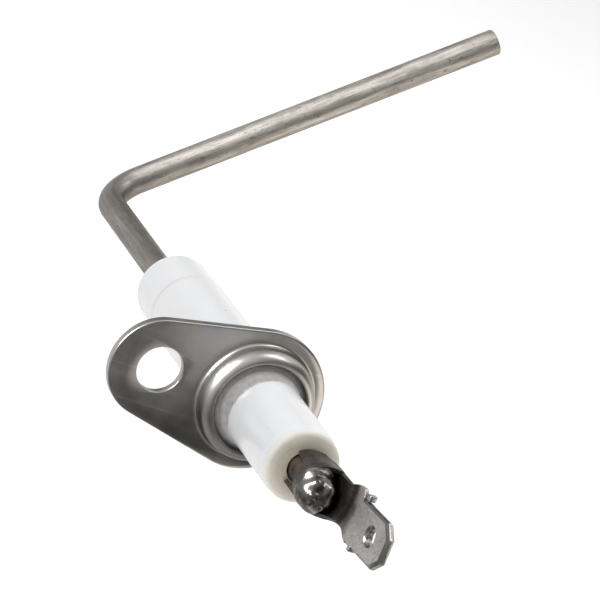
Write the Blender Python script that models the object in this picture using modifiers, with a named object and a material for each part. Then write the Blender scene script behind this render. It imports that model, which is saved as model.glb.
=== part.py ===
"""Flame sensor probe: a bent metal rod in a ceramic insulator, held by a stamped screw flange.

Frame: the origin lies on the flange's mounting face, between the insulator and the screw hole.
+Y points out of the mounting face, the way the rod runs; -Y points to the terminal; +Z is up.
The insulator's axis is parallel to Y.
"""
import math

import bmesh
import bpy
from mathutils import Matrix, Vector

MM = 0.001
ROUND_STEPS = 64

# Flange and its drawn collar. The screw hole lies towards -X.
FLANGE_T = 0.9 * MM
HOLE_PITCH = 10.6 * MM
FLANGE_RIM = 1.45 * MM
HOLE_LAND = 2.85 * MM
SCREW_HOLE_R = 2.35 * MM
FLANGE_EDGE_BREAK = 0.12 * MM
DOME_H = 2.2 * MM
DOME_WALL = 0.65 * MM
DOME_SHOULDER_H = 1.55 * MM
LIP_T = 0.6 * MM
LIP_OVERLAP = 0.2 * MM
LIP_EDGE = 0.1 * MM
DOME_FILLET = 0.35 * MM
MOUTH_CHAMFER = 0.2 * MM
HOLE_TO_FACE_POINT = 3.6 * MM

# Insulator
BODY_R = 4.15 * MM
COLLAR_STEP = 0.85 * MM
NOSE_STEP = 0.2 * MM
TAIL_STEP = 0.3 * MM
END_STEP = 0.2 * MM
SHOULDER_RISE = 0.35 * MM
FRONT_LEN = 27.1 * MM
NOSE_LEN = 3.6 * MM
NOSE_CONE_LEN = 2.9 * MM
TAIL_LEN = 16.1 * MM
END_BAND = 1.7 * MM
EDGE_ROUND = 0.45 * MM
SHOULDER_SLOPE = 1.6 * MM

# Rod
ROD_R = 1.5 * MM
ROD_REACH = 27.2 * MM
BEND_R = 4.2 * MM
ARM_LEN = 48.2 * MM
ARM_ANGLE = math.radians(42.0)
TIP_ROUND = 0.3 * MM

# Fits
SEAT_GAP = 0.3 * MM
BORE_CLEAR = 0.3 * MM
RING_CLEAR = 0.3 * MM
CEMENT_CLEAR = 0.3 * MM
COLLAR_CLEAR = 0.3 * MM
LIP_STANDOFF = 0.3 * MM

# Retaining ring and cement
RING_T = 0.75 * MM
RING_RECESS = 0.1 * MM
CEMENT_WALL = 0.6 * MM
CEMENT_LEN = 2.7 * MM
CEMENT_RECESS = 0.15 * MM

# Terminal
SHEET_T = 0.4 * MM
BARREL_LEN = 3.0 * MM
BARREL_WRAP = math.radians(145.0)
WING_CHAMFER = 0.6 * MM
TROUGH_LEN = 2.9 * MM
TROUGH_WRAP = math.radians(78.0)
NECK_LEN = 3.95 * MM
TAB_W = 4.8 * MM
TAB_T = 0.8 * MM
TAB_LEN = 6.3 * MM
TAB_ROOT = 1.7 * MM
TAB_FACE_X = 0.95 * MM
TAB_SHIFT_Z = 1.0 * MM
TAB_CORNER = 1.3 * MM
TAB_LEAD_IN = 0.45 * MM
TAB_HOLE_R = 0.9 * MM
TAB_HOLE_FROM_TIP = 3.45 * MM
NUB_OUT = 0.45 * MM
NUB_LEN = 0.6 * MM

# Weld bead
BEAD_LEN = 3.3 * MM

# Sizes that follow from the ones above
BORE_R = ROD_R + BORE_CLEAR
COLLAR_R = BODY_R + COLLAR_STEP
NOSE_R = BODY_R - NOSE_STEP
TAIL_R = BODY_R - TAIL_STEP
END_R = TAIL_R - END_STEP
SHOULDER_R = TAIL_R + SHOULDER_RISE
BEND_Y = FRONT_LEN + ROD_REACH
CAVITY_R = COLLAR_R + COLLAR_CLEAR
LIP_R = COLLAR_R - LIP_OVERLAP
DOME_R = CAVITY_R + DOME_WALL
FLANGE_BIG_R = DOME_R + FLANGE_RIM
FLANGE_SMALL_R = SCREW_HOLE_R + HOLE_LAND
AXIS_OFFSET = HOLE_PITCH - HOLE_TO_FACE_POINT
DOME_TOP_Y = -(FLANGE_T + DOME_H)
LIP_UNDER_Y = DOME_TOP_Y + LIP_T
CEMENT_R = BORE_R + CEMENT_WALL
POCKET_R = CEMENT_R + CEMENT_CLEAR
POCKET_LEN = CEMENT_LEN + CEMENT_RECESS + CEMENT_CLEAR
COLLAR_FRONT_Y = -(RING_RECESS + RING_T + SEAT_GAP)
WRAP_R = ROD_R + SEAT_GAP + SHEET_T / 2
BARREL_Y = -(TAIL_LEN + SEAT_GAP)
BARREL_END_Y = BARREL_Y - BARREL_LEN
ROD_END_Y = BARREL_END_Y + 0.1 * MM
BEAD_R = ROD_R
BEAD_Y = ROD_END_Y - SEAT_GAP - BEAD_LEN / 2
TROUGH_Y = BARREL_END_Y - WING_CHAMFER
TROUGH_END_Y = TROUGH_Y - TROUGH_LEN
TAB_ROOT_Y = TROUGH_END_Y - NECK_LEN
NUB_Y = TAB_ROOT_Y - TAB_ROOT
TAB_TIP_Y = NUB_Y - TAB_LEN
TAB_MID_X = TAB_FACE_X + TAB_T / 2


def clear_scene():
    for obj in list(bpy.data.objects):
        bpy.data.objects.remove(obj, do_unlink=True)
    for coll in list(bpy.data.collections):
        bpy.data.collections.remove(coll)


def material(name, color, metallic, roughness):
    mat = bpy.data.materials.new(name)
    mat.use_nodes = True
    bsdf = mat.node_tree.nodes["Principled BSDF"]
    bsdf.inputs["Base Color"].default_value = (*color, 1.0)
    bsdf.inputs["Metallic"].default_value = metallic
    bsdf.inputs["Roughness"].default_value = roughness
    return mat


def add_object(name, mesh, coll, mat=None, smooth_angle=35.0):
    obj = bpy.data.objects.new(name, mesh)
    coll.objects.link(obj)
    if mat is not None:
        mesh.materials.append(mat)
        mesh.shade_smooth()
        mesh.set_sharp_from_angle(angle=math.radians(smooth_angle))
    else:
        obj.hide_render = True
        obj.hide_viewport = True
        obj.display_type = "WIRE"
    return obj


def lathe(name, profile, coll, mat=None, closed=True):
    """Turn (radius, y) points round the insulator's axis; the outer side runs from +Y to -Y."""
    mesh = bpy.data.meshes.new(name)
    verts = [(r, y, 0.0) for r, y in profile]
    edges = [(i, i + 1) for i in range(len(verts) - 1)]
    if closed:
        edges.append((len(verts) - 1, 0))
    mesh.from_pydata(verts, edges, [])
    obj = add_object(name, mesh, coll, mat)
    obj.location = (AXIS_OFFSET, 0.0, 0.0)
    mod = obj.modifiers.new("turn", "SCREW")
    mod.axis = "Y"
    mod.angle = math.tau
    mod.steps = ROUND_STEPS
    mod.render_steps = ROUND_STEPS
    mod.use_merge_vertices = True
    mod.merge_threshold = 0.000001
    mod.use_smooth_shade = mat is not None
    return obj


def arc_points(cx, cy, radius, start, end, count):
    """Points on an arc, angles in degrees, both ends included."""
    out = []
    for i in range(count + 1):
        a = math.radians(start + (end - start) * i / count)
        out.append((cx + radius * math.cos(a), cy + radius * math.sin(a)))
    return out


def boolean(obj, operation, other):
    mod = obj.modifiers.new(operation.lower(), "BOOLEAN")
    mod.operation = operation
    mod.solver = "EXACT"
    mod.object = other


def mesh_from_curve(name, curve, coll, transform=None, weld=0.000001):
    """A mesh made from a curve, with its caps joined to its sides."""
    temp = bpy.data.objects.new(name + "_curve", curve)
    coll.objects.link(temp)
    bpy.context.view_layer.update()
    mesh = bpy.data.meshes.new_from_object(temp)
    bpy.data.objects.remove(temp, do_unlink=True)
    bpy.data.curves.remove(curve)
    mesh.name = name
    mesh.materials.clear()
    bm = bmesh.new()
    bm.from_mesh(mesh)
    bmesh.ops.remove_doubles(bm, verts=bm.verts, dist=weld)
    if transform is not None:
        bmesh.ops.transform(bm, matrix=transform, verts=bm.verts)
    bmesh.ops.recalc_face_normals(bm, faces=bm.faces)
    bm.to_mesh(mesh)
    bm.free()
    return mesh


def flange_outline():
    """The two round ends and the straight sides tangent to both, big end on the insulator's axis."""
    lean = math.degrees(math.acos((FLANGE_BIG_R - FLANGE_SMALL_R) / HOLE_PITCH))
    big = arc_points(AXIS_OFFSET, 0.0, FLANGE_BIG_R, -(180.0 - lean), 180.0 - lean, 56)
    small = arc_points(AXIS_OFFSET - HOLE_PITCH, 0.0, FLANGE_SMALL_R, 180.0 - lean, 180.0 + lean, 32)
    return big + small


def build_flange(coll, cutters, mat):
    curve = bpy.data.curves.new("flange_outline", "CURVE")
    curve.dimensions = "2D"
    curve.fill_mode = "BOTH"
    curve.extrude = FLANGE_T / 2 - FLANGE_EDGE_BREAK
    curve.bevel_depth = FLANGE_EDGE_BREAK
    curve.bevel_resolution = 1
    curve.offset = -FLANGE_EDGE_BREAK
    hole_x = AXIS_OFFSET - HOLE_PITCH
    hole = arc_points(hole_x, 0.0, SCREW_HOLE_R, 0.0, 352.5, 47)
    for points in (flange_outline(), hole):
        spline = curve.splines.new("POLY")
        spline.points.add(len(points) - 1)
        for point, (x, z) in zip(spline.points, points):
            point.co = (x, z, 0.0, 1.0)
        spline.use_cyclic_u = True
    stand = Matrix.Translation((0.0, -FLANGE_T / 2, 0.0)) @ Matrix.Rotation(math.pi / 2, 4, "X")
    mesh = mesh_from_curve("mounting_flange", curve, coll, stand)
    flange = add_object("mounting_flange", mesh, coll, mat)

    fillet = arc_points(DOME_R + DOME_FILLET, -(FLANGE_T + DOME_FILLET), DOME_FILLET, 82.0, 180.0, 7)
    shoulder = []
    for i in range(15):
        a = math.pi / 2 * i / 14
        shoulder.append((LIP_R + LIP_EDGE + (DOME_R - LIP_R - LIP_EDGE) * math.cos(a),
                         DOME_TOP_Y + DOME_SHOULDER_H * (1.0 - math.sin(a))))
    dome_profile = [(0.0, -FLANGE_T / 2), (fillet[0][0], -FLANGE_T / 2)]
    dome_profile += fillet + shoulder + [(0.0, DOME_TOP_Y)]
    dome = lathe("collar_blank", dome_profile, cutters, closed=False)

    past = FLANGE_T
    bore = [(0.0, past), (CAVITY_R + MOUTH_CHAMFER + past, past), (CAVITY_R, -MOUTH_CHAMFER)]
    bore += [(CAVITY_R, LIP_UNDER_Y + 0.2 * MM), (CAVITY_R - 0.2 * MM, LIP_UNDER_Y)]
    bore += [(LIP_R, LIP_UNDER_Y), (LIP_R, DOME_TOP_Y - past), (0.0, DOME_TOP_Y - past)]
    cavity = lathe("collar_cavity", bore, cutters, closed=False)
    boolean(flange, "UNION", dome)
    boolean(flange, "DIFFERENCE", cavity)
    return flange


def build_insulator(coll, mat):
    nose_end = FRONT_LEN - NOSE_LEN
    cone_end = nose_end - NOSE_CONE_LEN
    seat_y = LIP_UNDER_Y + LIP_STANDOFF
    shoulder_y = DOME_TOP_Y + LIP_STANDOFF
    tail_y = shoulder_y - SHOULDER_SLOPE
    outer = arc_points(NOSE_R - EDGE_ROUND, FRONT_LEN - EDGE_ROUND, EDGE_ROUND, 90.0, 0.0, 5)
    outer += [(NOSE_R, nose_end), (NOSE_R + 0.4 * (BODY_R - NOSE_R), nose_end - 0.6 * NOSE_CONE_LEN)]
    outer += [(BODY_R, cone_end), (BODY_R, COLLAR_FRONT_Y)]
    outer += [(COLLAR_R - 0.2 * MM, COLLAR_FRONT_Y), (COLLAR_R, COLLAR_FRONT_Y - 0.2 * MM)]
    outer += [(COLLAR_R, seat_y + 0.3 * MM), (LIP_R - 0.1 * MM, seat_y)]
    outer += [(SHOULDER_R, shoulder_y), (TAIL_R, tail_y), (TAIL_R, -(TAIL_LEN - END_BAND))]
    outer += [(END_R, -(TAIL_LEN - END_BAND) - 0.3 * MM)]
    outer += arc_points(END_R - EDGE_ROUND, -(TAIL_LEN - EDGE_ROUND), EDGE_ROUND, 0.0, -90.0, 5)
    inner = [(POCKET_R, -TAIL_LEN), (POCKET_R, -(TAIL_LEN - POCKET_LEN))]
    inner += [(BORE_R, -(TAIL_LEN - POCKET_LEN)), (BORE_R, FRONT_LEN - 0.3 * MM)]
    inner += [(BORE_R + 0.3 * MM, FRONT_LEN)]
    return lathe("insulator", outer + inner, coll, mat)


def ring_profile(inner, outer, top, bottom, corner):
    return [(outer - corner, top), (outer, top - corner), (outer, bottom + corner),
            (outer - corner, bottom), (inner + corner, bottom), (inner, bottom + corner),
            (inner, top - corner), (inner + corner, top)]


def build_retaining_ring(coll, mat):
    inner = BODY_R + RING_CLEAR
    outer = CAVITY_R - RING_CLEAR
    top = -RING_RECESS
    corner = min(0.1 * MM, (outer - inner) / 4)
    return lathe("retaining_ring", ring_profile(inner, outer, top, top - RING_T, corner), coll, mat)


def build_cement(coll, mat):
    top = -(TAIL_LEN - CEMENT_LEN - CEMENT_RECESS)
    profile = ring_profile(BORE_R, CEMENT_R, top, top - CEMENT_LEN, 0.08 * MM)
    return lathe("bore_cement", profile, coll, mat)


def rod_path():
    """Centreline from inside the terminal, through the bore, round the bend to the tip."""
    corner = Vector((AXIS_OFFSET, BEND_Y, 0.0))
    arm = Vector((math.cos(ARM_ANGLE), 0.0, math.sin(ARM_ANGLE)))
    along = Vector((0.0, 1.0, 0.0))
    centre = corner - along * BEND_R + arm * BEND_R
    points = [Vector((AXIS_OFFSET, ROD_END_Y, 0.0))]
    turns = 14
    for i in range(turns + 1):
        a = math.pi / 2 * i / turns
        points.append(centre - arm * BEND_R * math.cos(a) + along * BEND_R * math.sin(a))
    points.append(corner + arm * ARM_LEN)
    return points


def build_rod(coll, mat):
    curve = bpy.data.curves.new("rod_path", "CURVE")
    curve.dimensions = "3D"
    curve.fill_mode = "FULL"
    curve.bevel_depth = ROD_R
    curve.bevel_resolution = 6
    curve.use_fill_caps = True
    points = rod_path()
    spline = curve.splines.new("POLY")
    spline.points.add(len(points) - 1)
    for point, co in zip(spline.points, points):
        point.co = (*co, 1.0)
    mesh = mesh_from_curve("flame_rod", curve, coll)
    rod = add_object("flame_rod", mesh, coll, mat)
    ends = rod.modifiers.new("end_round", "BEVEL")
    ends.width = TIP_ROUND
    ends.segments = 3
    ends.limit_method = "ANGLE"
    ends.angle_limit = math.radians(60.0)
    return rod


def strip_section(y, half_width, half_angle, floor_x, centre_z, thick, count=28):
    """One cross-section of the bent sheet: its outer and inner points, floor towards +X."""
    outer, inner = [], []
    for i in range(count + 1):
        s = -1.0 + 2.0 * i / count
        if half_angle > 0.0:
            radius = half_width / half_angle
            a = s * half_angle
            mid = Vector((floor_x + radius * (math.cos(a) - 1.0), y, centre_z + radius * math.sin(a)))
            normal = Vector((math.cos(a), 0.0, math.sin(a)))
        else:
            mid = Vector((floor_x, y, centre_z + s * half_width))
            normal = Vector((1.0, 0.0, 0.0))
        outer.append(mid + normal * thick / 2)
        inner.append(mid - normal * thick / 2)
    return outer, inner


def terminal_sections():
    sections = []

    def add(y, width, angle, x, z, thick):
        sections.append(strip_section(y, width, angle, x, z, thick))

    wrap_width = WRAP_R * BARREL_WRAP
    trough_width = WRAP_R * TROUGH_WRAP
    add(BARREL_Y, wrap_width, BARREL_WRAP, WRAP_R, 0.0, SHEET_T)
    add(BARREL_END_Y, wrap_width, BARREL_WRAP, WRAP_R, 0.0, SHEET_T)
    add(TROUGH_Y, trough_width, TROUGH_WRAP, WRAP_R, 0.0, SHEET_T)
    add(TROUGH_END_Y, trough_width, TROUGH_WRAP, WRAP_R, 0.0, SHEET_T)
    steps = 8
    for i in range(1, steps):
        t = i / steps
        s = t * t * (3.0 - 2.0 * t)
        width = trough_width + (TAB_W / 2 - trough_width) * s
        add(TROUGH_END_Y - NECK_LEN * t, width, TROUGH_WRAP * (1.0 - s),
            WRAP_R + (TAB_MID_X - WRAP_R) * s, TAB_SHIFT_Z * s, SHEET_T + (TAB_T - SHEET_T) * s)
    half = TAB_W / 2
    step = 0.05 * MM
    flat = (0.0, TAB_MID_X, TAB_SHIFT_Z)
    add(TAB_ROOT_Y, half, *flat, TAB_T)
    add(NUB_Y + NUB_LEN / 2 + step, half, *flat, TAB_T)
    add(NUB_Y + NUB_LEN / 2, half + NUB_OUT, *flat, TAB_T)
    add(NUB_Y - NUB_LEN / 2, half + NUB_OUT, *flat, TAB_T)
    add(NUB_Y - NUB_LEN / 2 - step, half, *flat, TAB_T)
    add(TAB_TIP_Y + TAB_CORNER, half, *flat, TAB_T)
    lead = min(TAB_LEAD_IN, TAB_CORNER * 0.9)
    add(TAB_TIP_Y + lead, half - TAB_CORNER + lead, *flat, TAB_T)
    add(TAB_TIP_Y, half - TAB_CORNER, *flat, TAB_T * 0.6)
    return sections


def build_terminal(coll, cutters, mat):
    mesh = bpy.data.meshes.new("tab_terminal")
    bm = bmesh.new()
    rings = []
    for outer, inner in terminal_sections():
        rings.append([bm.verts.new(p) for p in outer + inner[::-1]])
    n = len(rings[0])
    for a, b in zip(rings, rings[1:]):
        for i in range(n):
            j = (i + 1) % n
            bm.faces.new((a[i], a[j], b[j], b[i]))
    for ring in (rings[0], rings[-1]):
        for i in range(n // 2 - 1):
            bm.faces.new((ring[i], ring[i + 1], ring[n - 2 - i], ring[n - 1 - i]))
    bmesh.ops.recalc_face_normals(bm, faces=bm.faces)
    bm.to_mesh(mesh)
    bm.free()
    terminal = add_object("tab_terminal", mesh, coll, mat)
    terminal.location = (AXIS_OFFSET, 0.0, 0.0)

    punch = bpy.data.meshes.new("tab_punch")
    bm = bmesh.new()
    bmesh.ops.create_cone(bm, cap_ends=True, segments=32, radius1=TAB_HOLE_R, radius2=TAB_HOLE_R,
                          depth=TAB_T * 4, matrix=Matrix.Rotation(math.pi / 2, 4, "Y"))
    bm.to_mesh(punch)
    bm.free()
    cutter = add_object("tab_punch", punch, cutters)
    cutter.location = (AXIS_OFFSET + TAB_MID_X, TAB_TIP_Y + TAB_HOLE_FROM_TIP, TAB_SHIFT_Z)
    boolean(terminal, "DIFFERENCE", cutter)
    return terminal


def build_bead(coll, mat):
    mesh = bpy.data.meshes.new("weld_bead")
    bm = bmesh.new()
    bmesh.ops.create_uvsphere(bm, u_segments=32, v_segments=16, radius=1.0)
    shape = Matrix.Diagonal((BEAD_R, BEAD_LEN / 2, BEAD_R, 1.0))
    bmesh.ops.transform(bm, matrix=shape @ Matrix.Rotation(math.pi / 2, 4, "X"), verts=bm.verts)
    bm.to_mesh(mesh)
    bm.free()
    bead = add_object("weld_bead", mesh, coll, mat)
    bead.location = (AXIS_OFFSET, BEAD_Y, 0.0)
    return bead


def main():
    clear_scene()
    parts = bpy.data.collections.new("flame_sensor_probe")
    cutters = bpy.data.collections.new("cutters")
    bpy.context.scene.collection.children.link(parts)
    bpy.context.scene.collection.children.link(cutters)
    cutters.hide_render = True

    steel = material("stamped_steel", (0.42, 0.41, 0.40), 1.0, 0.35)
    ring_steel = material("ring_steel", (0.46, 0.46, 0.46), 1.0, 0.4)
    rod_metal = material("rod_alloy", (0.36, 0.33, 0.30), 1.0, 0.5)
    ceramic = material("glazed_ceramic", (0.86, 0.86, 0.84), 0.0, 0.2)
    cement = material("ceramic_cement", (0.45, 0.36, 0.26), 0.0, 0.9)
    tab_metal = material("terminal_steel", (0.40, 0.39, 0.37), 1.0, 0.4)
    weld = material("weld_metal", (0.50, 0.49, 0.48), 1.0, 0.2)

    build_flange(parts, cutters, steel)
    build_insulator(parts, ceramic)
    build_retaining_ring(parts, ring_steel)
    build_cement(parts, cement)
    build_rod(parts, rod_metal)
    build_terminal(parts, cutters, tab_metal)
    build_bead(parts, weld)


main()
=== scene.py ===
"""Visual model of the flame sensor probe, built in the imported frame.

The insulator's axis is parallel to Y at x = AXIS_X. The flange's mounting face is the plane y = 0,
the rod and its bend are at +Y and the terminal is at -Y.
"""
import math

import bmesh
import bpy
from mathutils import Matrix, Vector, noise


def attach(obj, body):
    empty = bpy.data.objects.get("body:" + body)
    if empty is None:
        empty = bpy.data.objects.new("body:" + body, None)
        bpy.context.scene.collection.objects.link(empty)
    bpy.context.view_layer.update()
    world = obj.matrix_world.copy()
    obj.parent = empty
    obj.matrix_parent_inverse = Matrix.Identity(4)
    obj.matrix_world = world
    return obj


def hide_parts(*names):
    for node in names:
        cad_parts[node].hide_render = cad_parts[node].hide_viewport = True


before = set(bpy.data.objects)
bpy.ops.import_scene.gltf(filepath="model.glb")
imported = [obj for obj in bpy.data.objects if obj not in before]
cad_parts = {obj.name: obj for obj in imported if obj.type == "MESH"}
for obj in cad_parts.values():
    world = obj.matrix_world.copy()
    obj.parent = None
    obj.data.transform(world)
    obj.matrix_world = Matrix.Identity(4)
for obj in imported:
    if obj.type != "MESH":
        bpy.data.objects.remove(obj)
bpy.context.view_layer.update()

MM = 0.001
# flange and its dome
AXIS_X = 7.0 * MM
T = 0.9 * MM
PITCH = 10.6 * MM
HOLE_X = AXIS_X - PITCH
BIG_R, SMALL_R, HOLE_R = 7.4 * MM, 5.2 * MM, 2.35 * MM
LIP_R, CAVITY_R, DOME_R, DOME_TOP = 4.8 * MM, 5.3 * MM, 5.95 * MM, -3.1 * MM
# rod
ROD_R, BEND_Y, BEND_R, ARM_LEN = 1.5 * MM, 54.3 * MM, 4.2 * MM, 48.2 * MM
ARM_ANGLE = math.radians(42.0)
ROD_END_Y = -19.3 * MM
# terminal, in mm
SHEET = 0.4


# ------------------------------------------------------------------ mesh helpers
def linked(name, bm):
    """An object made from a bmesh, which is freed, and linked to the scene."""
    mesh = bpy.data.meshes.new(name)
    bm.to_mesh(mesh)
    bm.free()
    obj = bpy.data.objects.new(name, mesh)
    bpy.context.scene.collection.objects.link(obj)
    return obj


def new_object(name, bm, mat, smooth=40.0, slot=None, replaces=()):
    """A piece of the part, smooth apart from the edges sharper than the angle given."""
    bmesh.ops.recalc_face_normals(bm, faces=bm.faces)
    obj = linked(name, bm)
    obj.data.materials.append(mat)
    obj.data.shade_smooth()
    obj.data.set_sharp_from_angle(angle=math.radians(smooth))
    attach(obj, "root")
    for node in replaces:
        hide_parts(node)
    return obj


def skin(bm, rings):
    """Faces between each ring of vertices and the next, every ring closed on itself."""
    n = len(rings[0])
    for p, q in zip(rings, rings[1:]):
        for i in range(n):
            j = (i + 1) % n
            bm.faces.new((p[i], p[j], q[j], q[i]))


def cap(bm, rings):
    """A flat face on the first ring and on the last."""
    bm.faces.new(rings[0][::-1])
    bm.faces.new(rings[-1])


def prism(name, loops):
    """A closed body through loops of points, each loop the same length."""
    bm = bmesh.new()
    rings = [[bm.verts.new(p) for p in loop] for loop in loops]
    skin(bm, rings)
    cap(bm, rings)
    bmesh.ops.recalc_face_normals(bm, faces=bm.faces)
    return linked(name, bm)


def circle(count):
    """Cosine and sine of evenly spaced angles round a full turn."""
    return [(math.cos(math.tau * k / count), math.sin(math.tau * k / count)) for k in range(count)]


def bake(obj, smooth):
    """Apply an object's modifiers."""
    bpy.context.view_layer.update()
    dg = bpy.context.evaluated_depsgraph_get()
    mesh = bpy.data.meshes.new_from_object(obj.evaluated_get(dg))
    old = obj.data
    obj.modifiers.clear()
    obj.data = mesh
    bpy.data.meshes.remove(old)
    mesh.shade_smooth()
    mesh.set_sharp_from_angle(angle=math.radians(smooth))


def carve(obj, tools, smooth):
    """Apply (tool, operation) booleans to an object, then remove the tools."""
    for tool, operation in tools:
        mod = obj.modifiers.new(operation.lower(), "BOOLEAN")
        mod.operation, mod.solver, mod.object = operation, "EXACT", tool
    bake(obj, smooth)
    for tool, _ in tools:
        bpy.data.objects.remove(tool, do_unlink=True)


def soften(obj, width):
    """Bevel an object's edges."""
    mod = obj.modifiers.new("edges", "BEVEL")
    mod.width, mod.segments = width, 3
    mod.limit_method, mod.angle_limit = "ANGLE", math.radians(50.0)
    bake(obj, 40.0)


def fillet(points, per_turn=32):
    """Round the corners of a closed path of (u, v, radius) points."""
    out = []
    n = len(points)
    for i, (u, v, r) in enumerate(points):
        here = Vector((u, v))
        if r <= 0.0:
            out.append((u, v))
            continue
        before = Vector(points[i - 1][:2]) - here
        after = Vector(points[(i + 1) % n][:2]) - here
        angle = before.angle(after)
        if angle > math.radians(178.0):
            out.append((u, v))
            continue
        reach = r / math.tan(angle / 2)
        limit = 0.49 * min(before.length, after.length)
        if reach > limit:
            reach = limit
            r = reach * math.tan(angle / 2)
        a, b = before.normalized(), after.normalized()
        centre = here + (a + b).normalized() * (r / math.sin(angle / 2))
        start = here + a * reach - centre
        end = here + b * reach - centre
        sweep = start.angle(end)
        if start.x * end.y - start.y * end.x < 0:
            sweep = -sweep
        steps = max(2, int(abs(sweep) / math.tau * per_turn) + 1)
        for k in range(steps + 1):
            t = sweep * k / steps
            c, s = math.cos(t), math.sin(t)
            out.append((centre.x + start.x * c - start.y * s, centre.y + start.x * s + start.y * c))
    return out


def turned(name, profile, mat, steps=128, **kw):
    """A closed body turned round the insulator's axis from a path of (radius, y, corner) in mm."""
    path = fillet([(r * MM, y * MM, corner * MM) for r, y, corner in profile])
    bm = bmesh.new()
    rings = [[bm.verts.new((AXIS_X + r * c, y, r * s)) for r, y in path] for c, s in circle(steps)]
    skin(bm, rings + rings[:1])
    return new_object(name, bm, mat, **kw)


# ------------------------------------------------------------------ material helpers
def new_material(name, metallic, rough):
    mat = bpy.data.materials.new(name)
    mat.use_nodes = True
    nt = mat.node_tree
    bsdf = nt.nodes["Principled BSDF"]
    bsdf.inputs["Metallic"].default_value = metallic
    bsdf.inputs["Roughness"].default_value = rough
    coords = nt.nodes.new("ShaderNodeTexCoord").outputs["Object"]
    return mat, nt, bsdf, coords


def mapped(nt, coords, scale, rotation=(0.0, 0.0, 0.0), location=(0.0, 0.0, 0.0)):
    n = nt.nodes.new("ShaderNodeMapping")
    n.inputs["Scale"].default_value = scale
    n.inputs["Rotation"].default_value = rotation
    n.inputs["Location"].default_value = location
    nt.links.new(coords, n.inputs["Vector"])
    return n.outputs["Vector"]


def noise_tex(nt, vector, scale, detail=4.0, rough=0.55, distortion=0.0):
    n = nt.nodes.new("ShaderNodeTexNoise")
    n.inputs["Scale"].default_value = scale
    n.inputs["Detail"].default_value = detail
    n.inputs["Roughness"].default_value = rough
    n.inputs["Distortion"].default_value = distortion
    nt.links.new(vector, n.inputs["Vector"])
    return n.outputs["Fac"]


def ramp(nt, value, stops):
    """A colour or grey ramp from (position, colour or number) stops."""
    n = nt.nodes.new("ShaderNodeValToRGB")
    elements = n.color_ramp.elements
    while len(elements) < len(stops):
        elements.new(0.5)
    for e, (pos, col) in zip(elements, stops):
        e.position = pos
        e.color = (col, col, col, 1.0) if isinstance(col, (int, float)) else (*col, 1.0)
    nt.links.new(value, n.inputs["Fac"])
    return n.outputs["Color"]


def mixed(nt, factor, a, b, blend="MIX"):
    """Mix two colours; each is a socket or a constant, and so is the factor."""
    n = nt.nodes.new("ShaderNodeMix")
    n.data_type = "RGBA"
    n.blend_type = blend
    for socket, value in ((n.inputs[0], factor), (n.inputs[6], a), (n.inputs[7], b)):
        if hasattr(value, "is_output"):
            nt.links.new(value, socket)
        elif isinstance(value, (int, float)):
            socket.default_value = value
        else:
            socket.default_value = (*value, 1.0)
    return n.outputs[2]


def maths(nt, operation, a, b=0.0):
    n = nt.nodes.new("ShaderNodeMath")
    n.operation = operation
    for socket, value in ((n.inputs[0], a), (n.inputs[1], b)):
        if hasattr(value, "is_output"):
            nt.links.new(value, socket)
        else:
            socket.default_value = value
    return n.outputs[0]


def axes_of(nt, coords):
    n = nt.nodes.new("ShaderNodeSeparateXYZ")
    nt.links.new(coords, n.inputs[0])
    return n.outputs[0], n.outputs[1], n.outputs[2]


def step_up(nt, value, low, high):
    """0 below low, 1 above high."""
    n = nt.nodes.new("ShaderNodeMapRange")
    n.interpolation_type = "SMOOTHSTEP"
    n.inputs["From Min"].default_value = low
    n.inputs["From Max"].default_value = high
    nt.links.new(value, n.inputs["Value"])
    return n.outputs["Result"]


def step_down(nt, value, low, high):
    """1 below low, 0 above high."""
    return maths(nt, "SUBTRACT", 1.0, step_up(nt, value, low, high))


def product(nt, a, b):
    return maths(nt, "MULTIPLY", a, b)


def swing(nt, value, amount):
    """A noise value from 0 to 1 as an offset of up to half the amount each way."""
    return product(nt, maths(nt, "SUBTRACT", value, 0.5), amount)


def marked(nt, tone, value, low, high, amount, color):
    """The tone, with a colour over it: none where the value is low, the amount where it is high."""
    return mixed(nt, ramp(nt, value, ((low, 0.0), (high, amount))), tone, color)


def roughness(nt, bsdf, value, low, high):
    """Roughness that goes from low to high as the value goes from 0 to 1."""
    n = nt.nodes.new("ShaderNodeMapRange")
    n.inputs["To Min"].default_value = low
    n.inputs["To Max"].default_value = high
    nt.links.new(value, n.inputs["Value"])
    nt.links.new(n.outputs["Result"], bsdf.inputs["Roughness"])


def bump(nt, bsdf, height, strength, distance, before=None):
    n = nt.nodes.new("ShaderNodeBump")
    n.inputs["Strength"].default_value = strength
    n.inputs["Distance"].default_value = distance
    nt.links.new(height, n.inputs["Height"])
    if before is not None:
        nt.links.new(before, n.inputs["Normal"])
    nt.links.new(n.outputs["Normal"], bsdf.inputs["Normal"])
    return n.outputs["Normal"]


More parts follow.
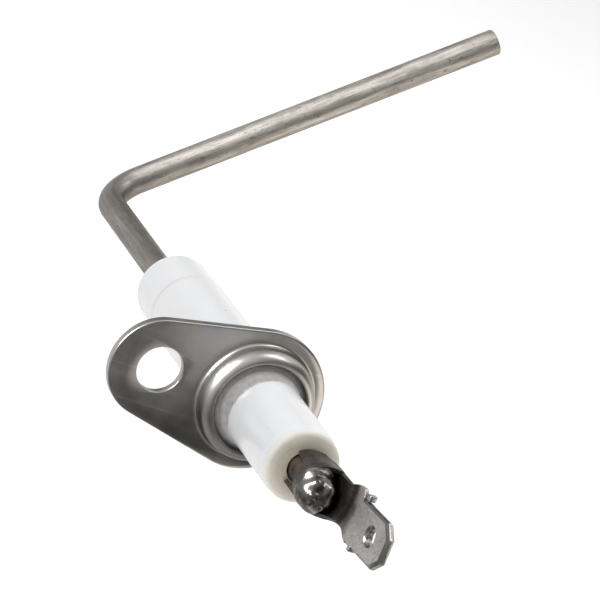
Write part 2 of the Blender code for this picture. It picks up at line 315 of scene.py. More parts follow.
def worn_metal(name, light, dark, rough, grain, patch=180.0, bump_mm=0.004, heat_and_shade=False):
    """Metal with a grain along one axis, soft patches and small marks."""
    mat, nt, bsdf, coords = new_material(name, 1.0, rough[0])
    streak = noise_tex(nt, mapped(nt, coords, grain), 1.0, 5.0, 0.65)
    cloud = noise_tex(nt, coords, patch, 4.0, 0.6)
    fine = noise_tex(nt, coords, patch * 14.0, 3.0, 0.6)
    tone = marked(nt, dark, cloud, 0.32, 0.7, 1.0, light)
    tone = mixed(nt, 0.55, tone, ramp(nt, streak, ((0.3, dark), (0.7, light))))
    if heat_and_shade:
        # darkened near the weld: heat tint, and painted shade over the barrel and the neck's
        # trough, with an uneven, slightly brown border
        far = nt.nodes.new("ShaderNodeVectorMath")
        far.operation = "DISTANCE"
        far.inputs[1].default_value = (AXIS_X, -20.6 * MM, 0.0)
        nt.links.new(coords, far.inputs[0])
        uneven = swing(nt, noise_tex(nt, coords, 420.0, 3.0, 0.6), 2.6 * MM)
        away = maths(nt, "ADD", far.outputs["Value"], uneven)
        burnt_and_painted_shade = ramp(nt, step_up(nt, away, 3.2 * MM, 7.6 * MM),
                     ((0.0, (0.105, 0.095, 0.088)), (0.35, (0.085, 0.072, 0.064)),
                      (0.6, (0.2, 0.165, 0.135)), (1.0, (0.42, 0.4, 0.38))))
        stain = noise_tex(nt, coords, 1100.0, 4.0, 0.6)
        burnt_and_painted_shade = marked(nt, burnt_and_painted_shade, stain, 0.4, 0.66, 0.7, (0.05, 0.043, 0.038))
        tone = mixed(nt, step_up(nt, away, 5.6 * MM, 7.4 * MM), burnt_and_painted_shade, tone)
    hide = noise_tex(nt, coords, 3300.0, 2.0, 0.5, 0.8)
    tone = mixed(nt, ramp(nt, hide, ((0.36, 0.5), (0.56, 0.0))), tone, (0.17, 0.165, 0.16))
    nt.links.new(tone, bsdf.inputs["Base Color"])
    roughness(nt, bsdf, mixed(nt, 0.5, streak, cloud), *rough)
    first = bump(nt, bsdf, streak, 0.5, bump_mm * MM)
    second = bump(nt, bsdf, fine, 0.35, bump_mm * MM, first)
    bump(nt, bsdf, hide, 0.7, 7.0 * bump_mm * MM, second)
    return mat


# ------------------------------------------------------------------ materials
def make_steel():
    mat, nt, bsdf, coords = new_material("stamped_steel_look", 1.0, 0.3)
    z = axes_of(nt, coords)[2]
    grain = noise_tex(nt, mapped(nt, coords, (60.0, 900.0, 900.0), (0.0, math.radians(20.0), 0.0)),
                      1.0, 5.0, 0.7)
    cloud = noise_tex(nt, coords, 230.0, 5.0, 0.6)
    fine = noise_tex(nt, coords, 2600.0, 3.0, 0.6)
    tone = marked(nt, (0.34, 0.332, 0.32), cloud, 0.3, 0.72, 1.0, (0.47, 0.46, 0.445))
    tone = marked(nt, tone, grain, 0.55, 0.75, 0.5, (0.58, 0.567, 0.545))
    warm = noise_tex(nt, coords, 620.0, 4.0, 0.65)
    tone = marked(nt, tone, warm, 0.56, 0.68, 0.45, (0.46, 0.385, 0.31))
    # painted shade: the lower half of the plate is darker, a painted dark reflection
    painted_shade_low = maths(nt, "ADD", z, swing(nt, cloud, 3.0 * MM))
    painted_shade_low = step_down(nt, painted_shade_low, -5.8 * MM, -1.4 * MM)
    painted_shade_low = product(nt, painted_shade_low, step_up(nt, z, -7.2 * MM, -6.1 * MM))
    tone = mixed(nt, product(nt, painted_shade_low, 0.8), tone, (0.11, 0.107, 0.103))
    scratch = mapped(nt, coords, (90.0, 2600.0, 2600.0), (0.0, math.radians(-35.0), 0.0))
    scratch = noise_tex(nt, scratch, 1.0, 3.0, 0.6)
    tone = marked(nt, tone, scratch, 0.66, 0.72, 0.45, (0.62, 0.61, 0.60))
    nt.links.new(tone, bsdf.inputs["Base Color"])
    roughness(nt, bsdf, mixed(nt, 0.5, cloud, grain), 0.20, 0.42)
    first = bump(nt, bsdf, grain, 0.35, 0.004 * MM)
    second = bump(nt, bsdf, cloud, 0.5, 0.02 * MM, first)
    bump(nt, bsdf, fine, 0.3, 0.003 * MM, second)
    return mat


def make_ceramic():
    mat, nt, bsdf, coords = new_material("glazed_ceramic_look", 0.0, 0.2)
    x, y, z = axes_of(nt, coords)
    off = maths(nt, "SUBTRACT", x, AXIS_X)
    radius = maths(nt, "SQRT", maths(nt, "ADD", product(nt, off, off), product(nt, z, z)))
    cloud = noise_tex(nt, coords, 160.0, 3.0, 0.5)
    fine = noise_tex(nt, coords, 1500.0, 4.0, 0.6)
    wander = swing(nt, noise_tex(nt, coords, 420.0, 4.0, 0.65), 1.5 * MM)
    yw = maths(nt, "ADD", y, wander)
    white = mixed(nt, cloud, (0.755, 0.76, 0.77), (0.81, 0.815, 0.825))
    # bare rear end: cream, browner toward the bore
    cream = ramp(nt, step_up(nt, radius, 1.9 * MM, 3.7 * MM),
                 ((0.0, (0.50, 0.43, 0.33)), (0.3, (0.62, 0.565, 0.46)),
                  (0.62, (0.71, 0.67, 0.575)), (1.0, (0.78, 0.755, 0.69))))
    cream = marked(nt, cream, fine, 0.35, 0.75, 0.35, (0.60, 0.53, 0.40))
    end = step_down(nt, y, -15.75 * MM, -15.35 * MM)
    tone = mixed(nt, end, white, cream)
    # greyish shoulder behind the flange, painted shade where the dome shades it, closed by an
    # irregular dark line
    painted_shade_shoulder = product(nt, step_up(nt, yw, -5.0 * MM, -4.5 * MM),
                       step_down(nt, y, -2.2 * MM, -1.0 * MM))
    grey = marked(nt, (0.26, 0.25, 0.24), fine, 0.3, 0.7, 1.0, (0.41, 0.40, 0.385))
    tone = mixed(nt, product(nt, painted_shade_shoulder, 0.9), tone, grey)
    near = maths(nt, "ABSOLUTE", maths(nt, "ADD", yw, 4.75 * MM))
    line = step_down(nt, near, 0.03 * MM, 0.11 * MM)
    broken = ramp(nt, noise_tex(nt, coords, 700.0, 3.0, 0.6), ((0.42, 0.0), (0.58, 1.0)))
    tone = mixed(nt, product(nt, product(nt, line, broken), 0.75), tone, (0.25, 0.18, 0.12))
    # bare step where the glaze of the nose ends
    bare = product(nt, step_up(nt, y, 20.55 * MM, 20.7 * MM),
                   step_down(nt, y, 20.95 * MM, 21.2 * MM))
    tone = mixed(nt, product(nt, bare, 0.85), tone, (0.60, 0.55, 0.46))
    specks = noise_tex(nt, coords, 900.0, 2.0, 0.5)
    tone = marked(nt, tone, specks, 0.72, 0.76, 0.6, (0.45, 0.38, 0.30))
    nt.links.new(tone, bsdf.inputs["Base Color"])
    dull = maths(nt, "MAXIMUM", maths(nt, "MAXIMUM", end, painted_shade_shoulder), bare)
    roughness(nt, bsdf, dull, 0.16, 0.62)
    first = bump(nt, bsdf, cloud, 0.3, 0.05 * MM)
    bump(nt, bsdf, fine, 0.2, 0.01 * MM, first)
    return mat


def make_rod_metal():
    """Drawn wire. The attribute "along" holds the distance along the rod and the place round it."""
    mat, nt, bsdf, coords = new_material("rod_alloy_look", 1.0, 0.4)
    attribute = nt.nodes.new("ShaderNodeAttribute")
    attribute.attribute_name = "along"
    along = attribute.outputs["Vector"]
    streak = noise_tex(nt, mapped(nt, along, (0.9, 14.0, 14.0)), 1.0, 6.0, 0.7)
    band = noise_tex(nt, mapped(nt, along, (0.25, 1.6, 1.6)), 1.0, 4.0, 0.6)
    mottle = noise_tex(nt, coords, 900.0, 5.0, 0.7)
    tone = marked(nt, (0.29, 0.268, 0.245), band, 0.3, 0.7, 1.0, (0.55, 0.515, 0.472))
    tone = marked(nt, tone, streak, 0.45, 0.64, 0.8, (0.22, 0.192, 0.165))
    shine = mapped(nt, along, (0.12, 2.4, 2.4), location=(3.0, 1.0, 5.0))
    shine = noise_tex(nt, shine, 1.0, 4.0, 0.6)
    tone = marked(nt, tone, shine, 0.5, 0.66, 0.6, (0.72, 0.69, 0.65))
    tone = marked(nt, tone, mottle, 0.5, 0.78, 0.6, (0.52, 0.50, 0.465))
    pits = noise_tex(nt, coords, 2300.0, 3.0, 0.6)
    tone = marked(nt, tone, pits, 0.63, 0.7, 0.7, (0.11, 0.09, 0.075))
    # the stretch before the bend, up to 70 mm along, is darker than the arm
    leg = step_down(nt, axes_of(nt, along)[0], 70.0, 84.0)
    tone = mixed(nt, product(nt, leg, 0.62), tone, (0.13, 0.122, 0.115))
    # scorched inside the terminal
    hot = step_down(nt, axes_of(nt, coords)[1], -16.0 * MM, -15.0 * MM)
    scorch = marked(nt, (0.05, 0.038, 0.03), mottle, 0.35, 0.65, 1.0, (0.17, 0.13, 0.105))
    tone = mixed(nt, product(nt, hot, 0.92), tone, scorch)
    nt.links.new(tone, bsdf.inputs["Base Color"])
    roughness(nt, bsdf, mixed(nt, 0.5, streak, mottle), 0.34, 0.6)
    first = bump(nt, bsdf, streak, 0.5, 0.012 * MM)
    bump(nt, bsdf, mottle, 0.5, 0.012 * MM, first)
    return mat


def make_weld():
    mat, nt, bsdf, coords = new_material("weld_metal_look", 1.0, 0.14)
    cloud = noise_tex(nt, coords, 700.0, 4.0, 0.6, 0.6)
    fine = noise_tex(nt, coords, 3200.0, 4.0, 0.65)
    tone = ramp(nt, cloud, ((0.38, (0.07, 0.066, 0.062)), (0.54, (0.17, 0.162, 0.155)),
                            (0.70, (0.42, 0.40, 0.38))))
    tone = marked(nt, tone, fine, 0.6, 0.72, 0.6, (0.30, 0.21, 0.14))
    nt.links.new(tone, bsdf.inputs["Base Color"])
    roughness(nt, bsdf, fine, 0.12, 0.32)
    swell = noise_tex(nt, coords, 600.0, 1.0, 0.4)
    first = bump(nt, bsdf, swell, 0.15, 0.05 * MM)
    bump(nt, bsdf, fine, 0.08, 0.003 * MM, first)
    return mat


def make_cement():
    mat, nt, bsdf, coords = new_material("cement_look", 0.0, 0.9)
    grit = noise_tex(nt, coords, 2500.0, 5.0, 0.7)
    tone = ramp(nt, grit, ((0.3, (0.56, 0.50, 0.40)), (0.55, (0.64, 0.585, 0.485)),
                           (0.75, (0.69, 0.64, 0.545))))
    nt.links.new(tone, bsdf.inputs["Base Color"])
    bump(nt, bsdf, grit, 0.9, 0.06 * MM)
    return mat


steel = make_steel()
ceramic = make_ceramic()
rod_metal = make_rod_metal()
tab_metal = worn_metal("terminal_steel_look", (0.50, 0.485, 0.47), (0.33, 0.32, 0.31),
                       (0.26, 0.46), (900.0, 120.0, 900.0), patch=260.0, bump_mm=0.006, heat_and_shade=True)
# a darker copy of the terminal steel: painted shade for the coined lead-in
coined_painted_shade_metal = worn_metal("coined_edge_painted_shade_look", (0.24, 0.232, 0.225), (0.15, 0.145, 0.14),
                          (0.18, 0.3), (900.0, 120.0, 900.0), patch=260.0)
ring_steel = worn_metal("ring_steel_look", (0.48, 0.47, 0.46), (0.30, 0.29, 0.28),
                        (0.3, 0.5), (500.0, 500.0, 500.0), patch=300.0)
weld_metal = make_weld()
cement = make_cement()


# ------------------------------------------------------------------ flange
def hull_radius(theta):
    """Distance from the insulator's axis to the flange's edge in direction theta (in X-Z)."""
    out = Vector((math.cos(theta), abs(math.sin(theta))))
    lean = math.acos((BIG_R - SMALL_R) / PITCH)
    facing = out.dot(Vector((-math.cos(lean), math.sin(lean))))
    if facing <= 0.0:
        return BIG_R
    to_side = BIG_R / facing
    t = (out * to_side).dot(Vector((-math.sin(lean), -math.cos(lean))))
    if t <= 0.0:
        return BIG_R
    if t <= PITCH * math.sin(lean):
        return to_side
    small = Vector((-PITCH, 0.0))
    b = out.dot(small)
    return b + math.sqrt(max(0.0, b * b - small.length_squared + SMALL_R * SMALL_R))


def quarter(steps):
    """Sine and cosine of angles from 0 to a right angle."""
    angles = [math.pi / 2 * k / steps for k in range(steps + 1)]
    return [(math.sin(a), math.cos(a)) for a in angles]


def build_flange():
    foot = 0.35 * MM            # fillet at the foot of the dome
    edge_round = 0.16 * MM      # the plate's edge, on the terminal's side
    low_round = 0.07 * MM       # the same, on the mounting side
    roll_out, roll_down = 0.88 * MM, 0.30 * MM      # the edge rolls over more toward +X
    top_r = LIP_R + 0.1 * MM
    under_lip = DOME_TOP + 0.6 * MM
    mouth = CAVITY_R + 0.25 * MM
    dome = [(LIP_R, under_lip), (LIP_R, DOME_TOP + 0.04 * MM), (LIP_R + 0.04 * MM, DOME_TOP)]
    dome += [(top_r + (DOME_R - top_r) * s, DOME_TOP + 1.55 * MM * (1.0 - c))
             for s, c in quarter(24)]
    dome += [(DOME_R + foot - foot * c, -T - foot + foot * s) for s, c in quarter(8)]
    under = [(mouth, 0.0), (CAVITY_R + 0.05 * MM, -0.12 * MM), (CAVITY_R, -0.3 * MM),
             (CAVITY_R, DOME_TOP + 0.85 * MM), (CAVITY_R - 0.15 * MM, under_lip),
             (top_r, under_lip)]
    base = dome[-1][0]
    bm = bmesh.new()
    steps = 320
    rings = []
    for k in range(steps):
        # finer steps near the narrow end
        even = math.tau * (k + 0.5) / steps
        turn = even + 0.35 * math.sin(even)
        toward_x, toward_z = math.cos(turn), math.sin(turn)
        edge = hull_radius(turn)
        roll = edge_round + roll_out * max(0.0, toward_x)
        drop = edge_round + roll_down * max(0.0, toward_x)
        section = dome + [(base + (edge - roll - base) * t, -T) for t in (0.15, 0.5, 0.85)]
        section += [(edge - roll + roll * s, -T + drop - drop * c) for s, c in quarter(8)]
        section += [(edge - low_round + low_round * c, -low_round + low_round * s)
                    for s, c in quarter(3)]
        section += [(mouth + (edge - edge_round - mouth) * t, 0.0) for t in (0.85, 0.5, 0.15)]
        section += under
        rings.append([bm.verts.new((AXIS_X + r * toward_x, y, r * toward_z)) for r, y in section])
    skin(bm, rings + rings[:1])
    obj = new_object("flange", bm, steel, smooth=50.0, slot="stamped_steel",
                     replaces=("mounting_flange",))
    # screw hole, with slightly rounded edges: (radius more than the hole's, y) in mm
    plate = T / MM
    cut = [(0.12, -plate - 2.0), (0.12, -plate - 0.001), (0.035, -plate + 0.035),
           (0.0, -plate + 0.12), (0.0, -0.1), (0.03, -0.03), (0.1, 0.001), (0.1, 2.0)]
    loops = [[(HOLE_X + (HOLE_R + more * MM) * c, y * MM, (HOLE_R + more * MM) * s)
              for c, s in circle(96)] for more, y in cut]
    carve(obj, [(prism("cut", loops), "DIFFERENCE")], 50.0)


build_flange()


# ------------------------------------------------------------------ insulator
turned("insulator_body", [
    (1.8, 26.8, 0.1), (2.1, 27.1, 0.1), (3.95, 27.1, 0.5), (3.95, 23.45, 1.0), (4.02, 21.4, 0.5),
    (4.02, 20.98, 0.03), (4.13, 20.82, 0.05), (4.13, 20.5, 0.1), (4.15, 20.3, 0.1),
    (4.15, -1.15, 0.1), (5.0, -1.15, 0.15), (5.0, -1.95, 0.2), (4.7, -2.2, 0.2),
    (4.2, -2.8, 0.25), (3.86, -4.3, 0.9), (3.85, -5.2, 0.3), (3.85, -14.6, 1.0),
    (3.74, -15.2, 0.5), (3.72, -16.1, 0.45), (2.62, -16.1, 0.02), (2.62, -12.95, 0.1),
    (1.8, -12.95, 0.1),
], ceramic, steps=160, slot="glazed_ceramic", replaces=("insulator",))


# ------------------------------------------------------------------ rod
def build_rod():
    corner = Vector((AXIS_X, BEND_Y, 0.0))
    arm = Vector((math.cos(ARM_ANGLE), 0.0, math.sin(ARM_ANGLE)))
    along = Vector((0.0, 1.0, 0.0))
    side = along.cross(arm)
    centre = corner - along * BEND_R + arm * BEND_R
    straight, bend, around = 60, 32, 64         # numbers of steps
    start = Vector((AXIS_X, ROD_END_Y, 0.0))
    bend_start = centre - arm * BEND_R
    stations = [(start.lerp(bend_start, k / straight), along) for k in range(straight + 1)]
    for s, c in quarter(bend)[1:]:
        stations.append((centre - arm * BEND_R * c + along * BEND_R * s, along * c + arm * s))
    bend_end = stations[-1][0]
    tip = corner + arm * ARM_LEN
    stations += [(bend_end.lerp(tip, k / straight), arm) for k in range(1, straight + 1)]
    bm = bmesh.new()

    def ring(p, d, r):
        u = d.cross(side).normalized()
        return [bm.verts.new(p + (u * c + side * s) * r) for c, s in circle(around)]

    # both ends are rounded by this radius
    rnd = 0.35 * MM
    (p0, d0), (p1, d1) = stations[0], stations[-1]
    rings = [ring(p0 + d0 * rnd * (1 - c), d0, ROD_R - rnd + rnd * s) for s, c in quarter(5)[:-1]]
    stations[0] = (p0 + d0 * rnd, d0)
    stations[-1] = (p1 - d1 * rnd, d1)
    rings += [ring(p, d, ROD_R) for p, d in stations]
    rings += [ring(p1 - d1 * rnd * (1 - s), d1, ROD_R - rnd + rnd * c) for s, c in quarter(5)[1:]]
    skin(bm, rings)
    cap(bm, rings)
    rod = new_object("rod", bm, rod_metal, slot="rod_alloy", replaces=("flame_rod",))
    # distance along the rod and place round it, for the drawn grain
    attr = rod.data.attributes.new("along", "FLOAT_VECTOR", "POINT")
    travel, last = 0.0, None
    for k in range(len(rings)):
        points = [rod.data.vertices[k * around + i].co for i in range(around)]
        middle = sum(points, Vector()) / around
        travel += (middle - last).length if last is not None else 0.0
        last = middle
        for i, (c, s) in enumerate(circle(around)):
            attr.data[k * around + i].vector = (travel / MM, c * 1.5, s * 1.5)


build_rod()

# ------------------------------------------------------------------ ring and cement
turned("ring_band", [(4.45, -0.1, 0.1), (5.0, -0.1, 0.1), (5.0, -0.85, 0.1), (4.45, -0.85, 0.1)],
       ring_steel, slot="ring_steel", replaces=("retaining_ring",))
turned("cement_fill", [(1.6, -13.2, 0.1), (2.68, -13.2, 0.1), (2.68, -16.1, 0.02),
                       (1.6, -16.07, 0.1)],
       cement, slot="ceramic_cement", replaces=("bore_cement",))


# ------------------------------------------------------------------ terminal
def spline(points, t):
    """A smooth curve through the points; t runs from 0 to 1."""
    n = len(points) - 1
    x = min(max(t, 0.0), 1.0) * n
    i = min(int(x), n - 1)
    f = x - i
    p = [Vector(points[min(max(i + k, 0), n)]) for k in (-1, 0, 1, 2)]
    return 0.5 * ((2 * p[1]) + (p[2] - p[0]) * f + (2 * p[0] - 5 * p[1] + 4 * p[2] - p[3]) * f * f
                  + (3 * p[1] - p[0] - 3 * p[2] + p[3]) * f * f * f)


def sheet(name, stations, across, along, **kw):
    """A bent sheet through stations of (y, [(x, z), ...]) in mm from the insulator's axis."""
    rows = [[Vector((x, y, z)) for x, z in points] for y, points in stations]
    grid = []
    for j in range(along + 1):
        v = j / along
        controls = [spline([row[c] for row in rows], v) for c in range(len(rows[0]))]
        grid.append([spline(controls, i / across) for i in range(across + 1)])
    bm = bmesh.new()
    sides = []
    for sign in (1.0, -1.0):
        verts = []
        for j in range(along + 1):
            line = []
            for i in range(across + 1):
                du = grid[j][min(i + 1, across)] - grid[j][max(i - 1, 0)]
                dv = grid[min(j + 1, along)][i] - grid[max(j - 1, 0)][i]
                normal = du.cross(dv).normalized()
                p = grid[j][i] + normal * (sign * SHEET / 2)
                line.append(bm.verts.new((AXIS_X + p.x * MM, p.y * MM, p.z * MM)))
            verts.append(line)
        sides.append(verts)
    top, low = sides
    for j in range(along):
        for i in range(across):
            bm.faces.new((top[j][i], top[j][i + 1], top[j + 1][i + 1], top[j + 1][i]))
            bm.faces.new((low[j][i], low[j + 1][i], low[j + 1][i + 1], low[j][i + 1]))
    for j in range(along):
        bm.faces.new((top[j][0], top[j + 1][0], low[j + 1][0], low[j][0]))
        bm.faces.new((top[j][across], low[j][across], low[j + 1][across], top[j + 1][across]))
    for i in range(across):
        bm.faces.new((top[0][i], low[0][i], low[0][i + 1], top[0][i + 1]))
        bm.faces.new((top[along][i], top[along][i + 1], low[along][i + 1], low[along][i]))
    obj = new_object(name, bm, tab_metal, slot="terminal_steel", **kw)
    soften(obj, 0.10 * MM)


def polar(angle, radius):
    """x and z from an angle in degrees and a radius round the insulator's axis."""
    a = math.radians(angle)
    return (radius * math.cos(a), radius * math.sin(a))


# tab: origin at the middle of its tip on the front face, in mm; the sheet lies behind it
TIP = Vector((0.96, -34.74, 1.10))
ALONG = Vector((0.004, 0.998, -0.078)).normalized()      # from the tip towards the root
BACK = Vector((0.999, -0.004, 0.032)).normalized()
ACROSS = BACK.cross(ALONG).normalized()
if ACROSS.z < 0:
    ACROSS = -ACROSS


def tab_point(u, v, w):
    """u across (up), v from the tip towards the root, w behind the front face, all in mm."""
    return TIP + ACROSS * u + ALONG * v + BACK * w


def on_tab(u, v, w):
    """The same point as a place in the scene."""
    p = tab_point(u, v, w)
    return Vector((AXIS_X + p.x * MM, p.y * MM, p.z * MM))


def neck_row(v, half_low, half_high, bow):
    """A row of the sheet across the neck, v from the tip, slightly bowed."""
    row = []
    for k in range(7):
        u = -half_low + (half_low + half_high) * k / 6
        p = tab_point(u, v, SHEET / 2 + bow * math.sin(math.pi * k / 6))
        row.append((p.x, p.z))
    return (TIP.y + ALONG.y * v, row)


# rows of the sheet from the barrel to the neck: y, then points across the sheet
BARREL_ROWS = (
    (-16.4, ((-133, 2.02), (-96, 2.0), (-55, 2.0), (-15, 2.0), (15, 2.03), (40, 2.2), (62, 2.3))),
    (-17.4, ((-133, 2.02), (-96, 2.0), (-55, 2.0), (-15, 2.0), (15, 2.06), (38, 2.3), (59, 2.42))),
    (-18.4, ((-132, 2.02), (-95, 2.0), (-54, 2.0), (-15, 2.0), (15, 2.1), (36, 2.42), (55, 2.6))),
    (-19.4, ((-130, 2.02), (-94, 2.0), (-52, 2.0), (-14, 2.0), (15, 2.1), (35, 2.5), (53, 2.72))),
)
stations = [(y, [polar(*point) for point in row]) for y, row in BARREL_ROWS]
stations += [
    (-20.4, [polar(-120, 2.02), polar(-86, 2.0), polar(-50, 2.0), polar(-14, 2.0),
             (1.98, 0.6), (1.92, 1.45), (1.62, 2.22)]),
    (-21.4, [polar(-104, 2.05), polar(-76, 2.0), polar(-46, 1.98), polar(-13, 1.95),
             (1.85, 0.65), (1.75, 1.5), (1.42, 2.34)]),
    (-22.4, [(0.40, -1.80), (0.92, -1.62), (1.4, -1.2), (1.72, -0.35), (1.75, 0.65),
             (1.62, 1.6), (1.38, 2.42)]),
    (-23.4, [(0.90, -1.48), (1.15, -1.2), (1.42, -0.75), (1.6, 0.0), (1.62, 0.85),
             (1.56, 1.75), (1.38, 2.5)]),
    (-24.6, [(1.18, -1.26), (1.28, -0.9), (1.42, -0.4), (1.5, 0.35), (1.5, 1.15),
             (1.46, 1.95), (1.30, 3.02)]),
    neck_row(9.1, 1.60, 3.0, 0.03),
    neck_row(8.2, 2.06, 3.08, 0.0),
    neck_row(7.8, 2.25, 2.95, 0.0),
    neck_row(7.4, 2.38, 2.4, 0.0),
]
sheet("terminal_body", stations, 36, 110, replaces=("tab_terminal",))

# the wing: y, the angles it spans, and the radius of its far edge
wing = []
for y, near, far, out in ((-16.5, 60, 134, 2.02), (-17.4, 57, 136, 2.0), (-18.3, 54, 138, 1.98),
                          (-18.75, 53, 142, 1.98), (-19.0, 52, 160, 1.98), (-19.2, 52, 186, 2.0),
                          (-19.4, 52, 207, 2.04), (-19.8, 52, 214, 2.06),
                          (-20.35, 52, 216, 2.04)):
    flare = 2.28 + 0.4 * min(1.0, (-16.5 - y) / 3.0)
    radii = (flare, 2.0 + (flare - 2.0) * 0.35, 2.02, 2.0, 2.0, 2.0, out)
    wing.append((y, [polar(near + (far - near) * k / 6, r) for k, r in enumerate(radii)]))
sheet("terminal_wing", wing, 48, 72)


def mitred(points, d):
    """An open path moved sideways by d, to the left of its direction."""
    out = []
    n = len(points)
    for k in range(n):
        here = Vector(points[k])
        before = (here - Vector(points[k - 1])).normalized() if k > 0 else None
        after = (Vector(points[k + 1]) - here).normalized() if k < n - 1 else None
        sides = [Vector((-t.y, t.x)) for t in (before, after) if t is not None]
        if len(sides) == 2:
            total = sides[0] + sides[1]
            out.append(here + total * (d / (1.0 + sides[0].dot(sides[1]))))
        else:
            out.append(here + sides[0] * d)
    return [(p.x, p.y) for p in out]


def build_tab():
    """The double-thickness tab: folded long sides, cut and coined tip, a punched hole."""
    low, high = -2.42, 2.3          # lower and upper side
    flat = 1.18                     # corner cut, across the tab
    past = 0.6                      # how far the trim reaches past the sides
    rise = 1.5 * (1.72 / 1.15)      # corner cut along the tab, with that reach
    section = []
    for side, angle in ((low + SHEET, math.pi / 2), (high - SHEET, -math.pi / 2)):
        for k in range(13):
            a = angle + math.pi * k / 12
            section.append((side + SHEET * math.cos(a), SHEET + SHEET * math.sin(a)))
    tab = prism("tab", [[on_tab(u, v, w) for u, w in section] for v in (-0.3, 7.5)])
    tab.data.materials.append(tab_metal)
    # the cut outline, moved in by d at depth w: this coins the lead-in on both faces
    tip = [(low - past, 9.0), (low - past, rise), (low + flat, 0.0), (high - flat, 0.0),
           (high + past, rise), (high + past, 9.0)]
    bands = ((-0.2, 0.72), (0.0, 0.40), (0.15, 0.02), (0.19, 0.0), (0.61, 0.0), (0.65, 0.02),
             (0.8, 0.32), (1.0, 0.62))
    trim = [[on_tab(u, v, w) for u, v in mitred(tip, d)] for w, d in bands]
    tools = [(prism("tab_trim", trim), "INTERSECT")]
    # the hole, by its radius at each depth
    rim = ((1.45, -0.3), (1.07, 0.0), (0.92, 0.13), (0.87, 0.2), (0.87, 0.39), (0.80, 0.41),
           (0.80, 1.1))
    hole = [[on_tab(r * c, 3.5 + r * s, w) for c, s in circle(64)] for r, w in rim]
    tools.append((prism("tab_hole", hole), "DIFFERENCE"))
    # a slit round the cut tip, where the two layers meet
    for k in range(3):
        a, b = Vector(tip[k + 1]), Vector(tip[k + 2])
        t = (b - a).normalized()
        side = Vector((-t.y, t.x))
        if k == 0:
            a = a + t
        if k == 2:
            b = b - t
        corners = (a - side * 0.3, b - side * 0.3, b + side * 0.34, a + side * 0.34)
        slit = [[on_tab(c.x, c.y, w) for c in corners] for w in (0.385, 0.415)]
        tools.append((prism("tab_slit", slit), "DIFFERENCE"))
    carve(tab, tools, 28.0)
    # the coined lead-in is smoother than the faces, and painted darker as a painted dark reflection
    tab.data.materials.append(coined_painted_shade_metal)
    for face in tab.data.polygons:
        if 0.3 < -face.normal.dot(BACK) < 0.97:
            face.material_index = 1
    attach(tab, "root")


build_tab()


def nub(name, side):
    """A stop on the tab's upper (1) or lower (-1) side."""
    bm = bmesh.new()
    bmesh.ops.create_cube(bm, size=1.0)
    for v in bm.verts:
        u = 0.13 + side * (2.54 + v.co.x * 0.62)
        v.co = on_tab(u, 6.52 + v.co.y * 0.6, SHEET + v.co.z * 0.78)
    soften(new_object(name, bm, tab_metal, slot="terminal_steel"), 0.12 * MM)


nub("tab_stop_upper", 1.0)
nub("tab_stop_lower", -1.0)


# ------------------------------------------------------------------ weld
def build_weld():
    """The melted end of the rod: a lumpy ball with a ridge, folds and pits. Places are in mm."""
    blobs = (
        ((-0.32, -20.6, -0.32), (1.98, 1.85, 1.98)), ((-0.25, -21.3, -0.5), (1.76, 1.42, 1.72)),
        ((0.0, -20.6, 0.1), (1.5, 1.5, 1.5)), ((-0.5, -20.25, 0.55), (1.62, 1.25, 1.62)),
        ((-0.1, -20.35, 0.85), (1.4, 1.05, 1.38)), ((-0.70, -21.45, 0.55), (0.95, 0.95, 0.95)),
        ((0.20, -21.65, 0.45), (0.88, 0.88, 0.88)), ((-0.88, -22.3, -0.14), (0.80, 0.42, 0.40)),
        ((-1.41, -21.31, 0.32), (0.55, 0.6, 0.6)), ((-1.05, -22.09, -1.02), (0.45, 0.45, 0.45)),
        ((-0.16, -22.14, -0.87), (0.72, 0.72, 0.72)),
    )
    bm = bmesh.new()
    for k, (place, size) in enumerate(blobs):
        for v in bmesh.ops.create_icosphere(bm, subdivisions=5, radius=1.0)["verts"]:
            d = v.co.normalized()
            r = 1.0 + 0.05 * noise.noise(d * 1.3 + Vector((k * 7.3, 1.1, 0.0)))
            p = [place[i] + d[i] * r * size[i] for i in range(3)]
            v.co = (AXIS_X + p[0] * MM, p[1] * MM, p[2] * MM)
    obj = new_object("weld_ball", bm, weld_metal, smooth=180.0, slot="weld_metal",
                     replaces=("weld_bead",))
    join = obj.modifiers.new("join", "REMESH")
    join.mode, join.voxel_size, join.use_smooth_shade = "VOXEL", 0.06 * MM, True
    soft = obj.modifiers.new("soft", "SMOOTH")
    soft.factor, soft.iterations = 0.5, 110
    bake(obj, 180.0)
    # shallow unevenness, and pits given by place, depth and width
    middle = Vector((-0.15, -20.9, 0.0))
    pits = (((-0.18, -22.73, -1.06), 0.24, 0.20), ((-0.61, -22.02, 1.19), 0.16, 0.40),
            ((-0.80, -22.50, 0.45), 0.10, 0.42))
    for v in obj.data.vertices:
        p = Vector(((v.co.x - AXIS_X) / MM, v.co.y / MM, v.co.z / MM))
        out = (p - middle).normalized()
        d = 0.03 * noise.noise(p * 1.4)
        for c, depth, width in pits:
            far = (p - Vector(c)).length / width
            d -= depth * math.exp(-far * far)
        p = p + out * d
        v.co = (AXIS_X + p.x * MM, p.y * MM, p.z * MM)


build_weld()


# ------------------------------------------------------------------ stage
def plane(name, centre, normal, size, mat):
    """A rectangular card of the stage, facing along its normal."""
    bm = bmesh.new()
    bmesh.ops.create_grid(bm, x_segments=1, y_segments=1, size=0.5)
    turn = Vector(normal).to_track_quat("Z", "Y").to_matrix().to_4x4()
    scale = Matrix.Diagonal((size[0], size[1], 1.0, 1.0))
    shape = Matrix.Translation(Vector(centre)) @ turn @ scale
    bmesh.ops.transform(bm, matrix=shape, verts=bm.verts)
    obj = linked(name, bm)
    obj.data.materials.append(mat)
    return obj


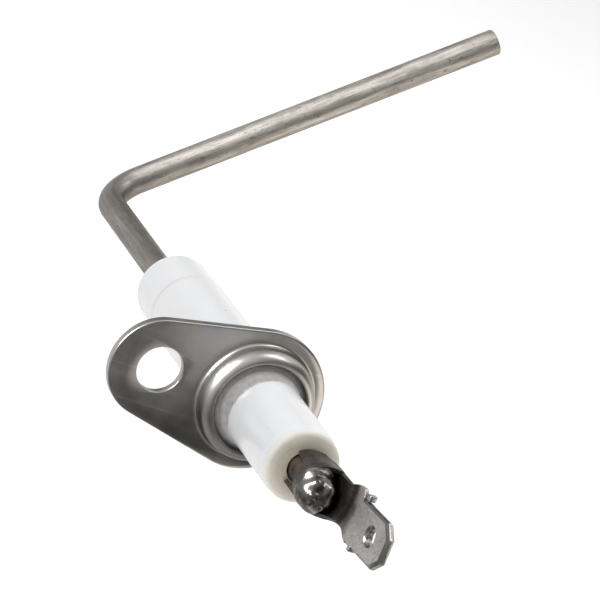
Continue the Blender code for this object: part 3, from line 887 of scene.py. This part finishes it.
def flat_paint(name, grey):
    mat = bpy.data.materials.new(name)
    mat.use_nodes = True
    bsdf = mat.node_tree.nodes["Principled BSDF"]
    bsdf.inputs["Base Color"].default_value = (grey, grey, grey, 1.0)
    bsdf.inputs["Roughness"].default_value = 0.9
    bsdf.inputs["Specular IOR Level"].default_value = 0.1
    return mat


floor = plane("floor", (0.0, 0.0, -0.06), (0, 0, 1), (8.0, 8.0), flat_paint("floor_paint", 0.97))
floor.visible_glossy = False
# a dark card, seen in reflections and not by the camera
card = plane("card_front", (0.0330, -0.0545, -0.0250), (-0.443, 0.864, 0.24), (0.030, 0.020),
             flat_paint("card_black", 0.015))
card.visible_camera = False
card.visible_diffuse = False
card.visible_shadow = False

world = bpy.data.worlds.new("studio")
bpy.context.scene.world = world
world.use_nodes = True
wt = world.node_tree
back = wt.nodes["Background"]
direction = wt.nodes.new("ShaderNodeTexCoord").outputs["Generated"]


def lobe(toward, low, high):
    """1 in the direction given, falling to 0."""
    dot = wt.nodes.new("ShaderNodeVectorMath")
    dot.operation = "DOT_PRODUCT"
    dot.inputs[1].default_value = Vector(toward).normalized()
    wt.links.new(direction, dot.inputs[0])
    return step_up(wt, dot.outputs["Value"], low, high)


# what the metal reflects: bright and dark patches round a dim studio; the camera sees white
glow = (0.05, 0.05, 0.051)
for toward, low, high, grey in (((-0.80, -0.15, 0.58), -0.28, 1.0, (0.95, 0.955, 0.96)),
                                ((0.443, -0.864, -0.24), 0.78, 0.97, (0.175, 0.172, 0.169)),
                                ((0.1, 0.2, -1.0), 0.45, 0.95, (0.80, 0.79, 0.78)),
                                ((-0.25, 0.93, -0.35), 0.76, 0.97, (0.95, 0.94, 0.93)),
                                ((0.5, 0.85, -0.2), 0.82, 0.97, (0.92, 0.91, 0.90)),
                                ((0.62, 0.62, -0.44), 0.72, 0.96, (0.90, 0.88, 0.86)),
                                ((0.585, -0.481, -0.65), 0.80, 0.93, (1.0, 0.97, 0.94)),
                                ((0.443, 0.224, 0.874), 0.88, 0.97, (0.98, 0.98, 0.98)),
                                ((0.84, -0.50, -0.14), 0.86, 0.97, (1.9, 1.77, 1.62)),
                                ((0.97, 0.22, -0.02), 0.84, 0.97, (1.0, 0.95, 0.90)),
                                ((0.60, 0.63, 0.49), 0.90, 0.98, (1.0, 0.99, 0.97))):
    glow = mixed(wt, lobe(toward, low, high), glow, grey)
seen = wt.nodes.new("ShaderNodeLightPath").outputs["Is Camera Ray"]
wt.links.new(mixed(wt, seen, glow, (1.0, 1.0, 1.0)), back.inputs["Color"])
back.inputs["Strength"].default_value = 1.0
bpy.context.scene.view_settings.view_transform = "Standard"

# ------------------------------------------------------------------ camera
RIGHT = Vector((0.84679, -0.31522, 0.42846)).normalized()
DOWN = Vector((0.29456, -0.39284, -0.87116)).normalized()
FORWARD = RIGHT.cross(DOWN).normalized()
DOWN = FORWARD.cross(RIGHT).normalized()
cam_data = bpy.data.cameras.new("camera")
cam = bpy.data.objects.new("camera", cam_data)
bpy.context.scene.collection.objects.link(cam)
SENSOR_MM, FOCAL_PX, PHOTO_PX = 36.0, 3504.72, 600.0
cam_data.sensor_width = SENSOR_MM
cam_data.lens = FOCAL_PX * SENSOR_MM / PHOTO_PX
cam_data.clip_start = 0.01
rot = Matrix((RIGHT, -DOWN, -FORWARD)).transposed().to_4x4()
cam.matrix_world = Matrix.Translation(Vector((-143.661, -294.04, 92.561)) * MM) @ rot
bpy.context.scene.camera = cam


# ------------------------------------------------------------------ lights
def soft_light(name, toward, far, size, power):
    data = bpy.data.lights.new(name, "AREA")
    data.energy = power
    data.shape = "RECTANGLE"
    data.size, data.size_y = size
    obj = bpy.data.objects.new(name, data)
    bpy.context.scene.collection.objects.link(obj)
    target = Vector((AXIS_X, 0.01, 0.0))
    place = target + Vector(toward).normalized() * far
    aim = (target - place).to_track_quat("-Z", "Y").to_matrix().to_4x4()
    obj.matrix_world = Matrix.Translation(place) @ aim
    return obj


soft_light("key", (-0.91, -0.12, 0.39), 0.5, (0.16, 0.30), 4.0).visible_diffuse = False
soft_light("top", (0.1, 0.3, 1.0), 0.8, (0.9, 0.9), 4.4).visible_glossy = False
soft_light("strip", (0.25, -0.15, 1.0), 0.5, (0.12, 0.3), 0.5).visible_diffuse = False
